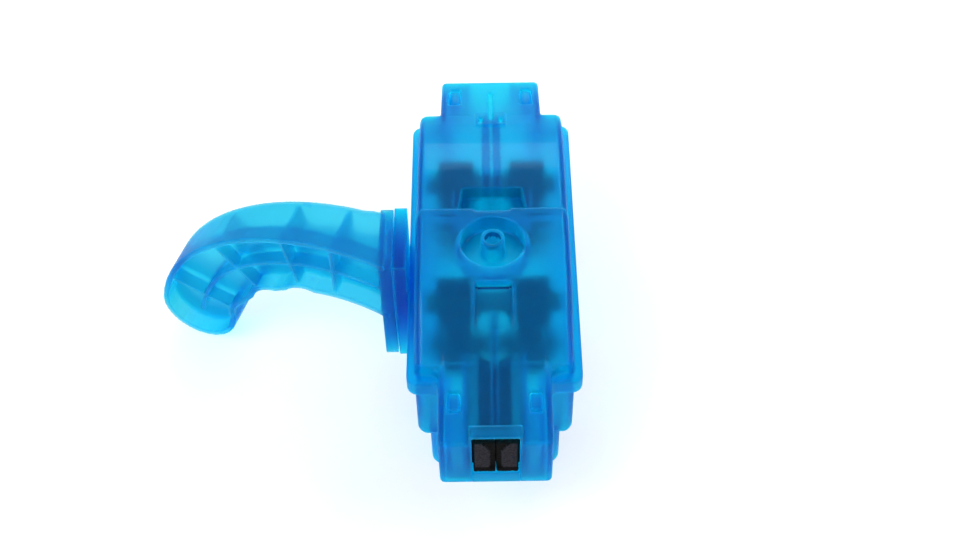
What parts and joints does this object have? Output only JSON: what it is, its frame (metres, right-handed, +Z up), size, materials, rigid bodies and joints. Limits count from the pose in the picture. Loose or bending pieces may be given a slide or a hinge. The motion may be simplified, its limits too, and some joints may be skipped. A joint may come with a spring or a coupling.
{
  "type": "bike chain cleaner",
  "caption": "Clear casing that closes over a bicycle chain, with brush rollers, foam wipers at the exit and a curved slide-on grip.",
  "frame": {"origin": "centre of the reservoir's resting face", "axes": "+Z up through the cover, Y along the chain's path with the foam wipers' exit snout at -Y, grip at -X"},
  "size_m": [0.1423, 0.154, 0.0715],
  "materials": {
    "casing_blue": "clear tinted moulding, polished, with softly rounded edges",
    "grip_blue": "clear tinted moulding, polished, paler where it is thin",
    "axle_steel": "drawn wire, bright",
    "hub_plastic": "moulded, satin",
    "bristle": "stiff nylon bristles",
    "foam": "open-cell foam"
  },
  "bodies": {
    "reservoir": {"reservoir_shell": "casing_blue", "front_lower_axle": "axle_steel", "rear_lower_axle": "axle_steel", "left_wiper": "foam", "right_wiper": "foam"},
    "cover": {"cover_shell": "casing_blue", "front_upper_axle": "axle_steel", "rear_upper_axle": "axle_steel"},
    "grip": {"grip": "grip_blue"},
    "front_upper_roller": {"front_upper_hub": "hub_plastic", "front_upper_brush_left": "bristle", "front_upper_brush_right": "bristle"},
    "rear_upper_roller": {"rear_upper_hub": "hub_plastic", "rear_upper_brush_left": "bristle", "rear_upper_brush_right": "bristle"},
    "front_lower_roller": {"front_lower_hub": "hub_plastic", "front_lower_brush_left": "bristle", "front_lower_brush_right": "bristle"},
    "rear_lower_roller": {"rear_lower_hub": "hub_plastic", "rear_lower_brush_left": "bristle", "rear_lower_brush_right": "bristle"}
  },
  "joints": [
    {"name": "cover_lift", "type": "slide", "parent": "reservoir", "child": "cover", "axis": [0, 0, 1], "range_m": [0, 0.06]},
    {"name": "grip_slide", "type": "slide", "parent": "reservoir", "child": "grip", "axis": [0, 0, 1], "range_m": [0, 0.045]},
    {"name": "front_upper_spin", "type": "hinge", "parent": "cover", "child": "front_upper_roller", "pos_m": [0, -0.02499, 0.053], "axis": [1, 0, 0], "continuous": true},
    {"name": "front_lower_spin", "type": "hinge", "parent": "reservoir", "child": "front_lower_roller", "pos_m": [0, -0.02499, 0.0305], "axis": [1, 0, 0], "continuous": true},
    {"name": "rear_upper_spin", "type": "hinge", "parent": "cover", "child": "rear_upper_roller", "pos_m": [0, 0.02499, 0.053], "axis": [1, 0, 0], "continuous": true},
    {"name": "rear_lower_spin", "type": "hinge", "parent": "reservoir", "child": "rear_lower_roller", "pos_m": [0, 0.02499, 0.0305], "axis": [1, 0, 0], "continuous": true}
  ]
}
